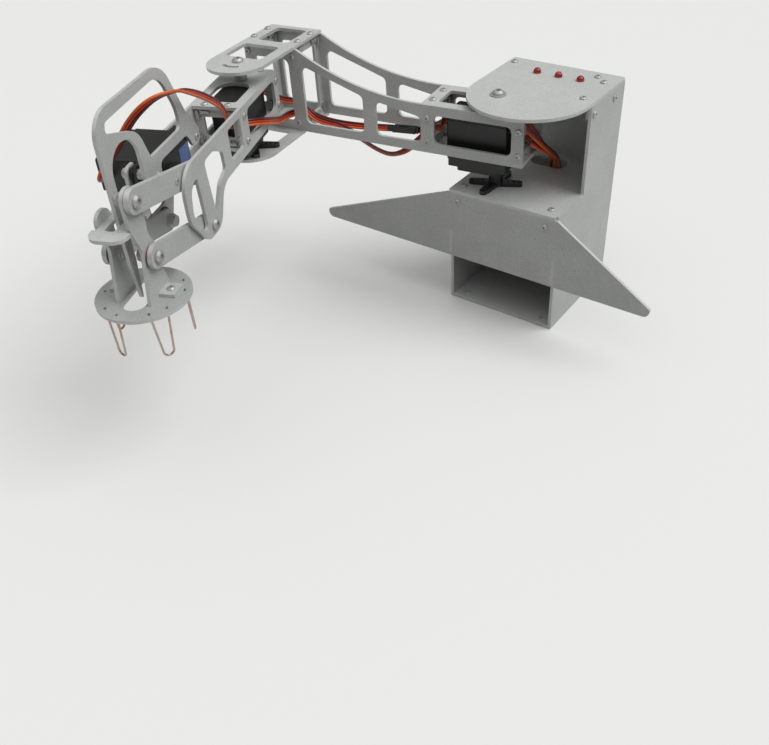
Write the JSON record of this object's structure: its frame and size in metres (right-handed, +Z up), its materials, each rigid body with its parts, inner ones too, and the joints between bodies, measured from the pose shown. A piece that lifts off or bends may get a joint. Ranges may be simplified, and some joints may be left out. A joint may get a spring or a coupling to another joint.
{
  "type": "servo robot arm",
  "caption": "Small desktop robot arm of bent-free sheet plates: a tower, two swinging servo links, a parallelogram lift and a wire-finger gripper that picks up and ejects a ball.",
  "frame": {"origin": "under the shoulder axis, on the underside of the base plate", "axes": "+Z up along the shoulder axis, +X to the right of the tower, +Y to its back"},
  "size_m": [0.2949, 0.3137, 0.2],
  "materials": {
    "grey_sheet": "satin, lightly scuffed",
    "screw_steel": "bright",
    "servo_case": "fine texture",
    "horn_plastic": "satin",
    "lead_ribbon": "three-wire ribbon, orange, red and brown",
    "connector_plastic": "satin",
    "red_lamp": "clear red",
    "red_fibre": "pressed fibre",
    "black_rubber": "matte",
    "spring_wire": "coppery drawn wire"
  },
  "bodies": {
    "base": {"base_plate": "grey_sheet", "front_apron": "grey_sheet", "floor_plate": "grey_sheet", "left_wall": "grey_sheet", "right_wall": "grey_sheet", "rear_wall": "grey_sheet", "top_plate": "grey_sheet", "corner_brackets": "grey_sheet", "tower_screws": "screw_steel", "indicator_lamps": "red_lamp", "shoulder_horn": "horn_plastic", "shoulder_pivot": "screw_steel", "shoulder_lead": "lead_ribbon", "tower_lead": "lead_ribbon", "elbow_lead_tail": "lead_ribbon"},
    "upper_arm": {"near_arm_plate": "grey_sheet", "far_arm_plate": "grey_sheet", "shoulder_top_frame": "grey_sheet", "shoulder_servo_plate": "grey_sheet", "shoulder_end_bulkhead": "grey_sheet", "shoulder_inner_bulkhead": "grey_sheet", "elbow_inner_bulkhead": "grey_sheet", "elbow_end_bulkhead": "grey_sheet", "elbow_top_tongue": "grey_sheet", "elbow_bottom_tongue": "grey_sheet", "elbow_horn": "horn_plastic", "elbow_pivot": "screw_steel", "shoulder_servo": "servo_case", "upper_arm_screws": "screw_steel", "lead_connector": "connector_plastic"},
    "forearm": {"near_fore_plate": "grey_sheet", "far_fore_plate": "grey_sheet", "fore_top_plate": "grey_sheet", "fore_servo_plate": "grey_sheet", "rear_bulkhead": "grey_sheet", "front_bulkhead": "grey_sheet", "elbow_servo": "servo_case", "lift_servo": "servo_case", "rubber_grommets": "black_rubber", "ejector_standoffs": "screw_steel", "ejector_plate": "grey_sheet", "forearm_screws": "screw_steel", "lower_pivot_screws": "screw_steel", "lift_lead": "lead_ribbon", "elbow_lead": "lead_ribbon"},
    "upper_link": {"upper_link": "grey_sheet", "lift_horn": "horn_plastic", "horn_spacers": "screw_steel", "horn_screws": "screw_steel"},
    "lower_links": {"near_lower_link": "grey_sheet", "far_lower_link": "grey_sheet", "fibre_washers": "red_fibre"},
    "gripper": {"near_carrier": "grey_sheet", "far_carrier": "grey_sheet", "guide_plate": "grey_sheet", "base_disc": "grey_sheet", "wire_fingers": "spring_wire", "gripper_screws": "screw_steel"}
  },
  "joints": [
    {"name": "shoulder", "type": "hinge", "parent": "base", "child": "upper_arm", "pos_m": [0, 0, 0.1], "axis": [0, 0, 1], "range_deg": [0, 163], "deforming": ["shoulder_lead", "tower_lead", "elbow_lead_tail"]},
    {"name": "elbow", "type": "hinge", "parent": "upper_arm", "child": "forearm", "pos_m": [-0.14474, -0.0734, 0.13], "axis": [0, 0, 1], "range_deg": [-100, 55], "deforming": ["lift_lead", "elbow_lead"]},
    {"name": "lift", "type": "hinge", "parent": "forearm", "child": "upper_link", "pos_m": [-0.10391, -0.17446, 0.144], "axis": [-0.9272, -0.3746, 0], "range_deg": [-30, 15]},
    {"name": "lower_swing", "type": "hinge", "parent": "forearm", "child": "lower_links", "pos_m": [-0.10616, -0.1689, 0.1095], "axis": [-0.9272, -0.3746, 0], "range_deg": [-30, 15]},
    {"name": "gripper_level", "type": "hinge", "parent": "upper_link", "child": "gripper", "pos_m": [-0.08106, -0.23102, 0.1595], "axis": [-0.9272, -0.3746, 0], "range_deg": [-15, 30]}
  ],
  "couplings": [
    {"joint": "lower_swing", "follows": "lift", "ratio": 1},
    {"joint": "gripper_level", "follows": "lift", "ratio": -1}
  ]
}
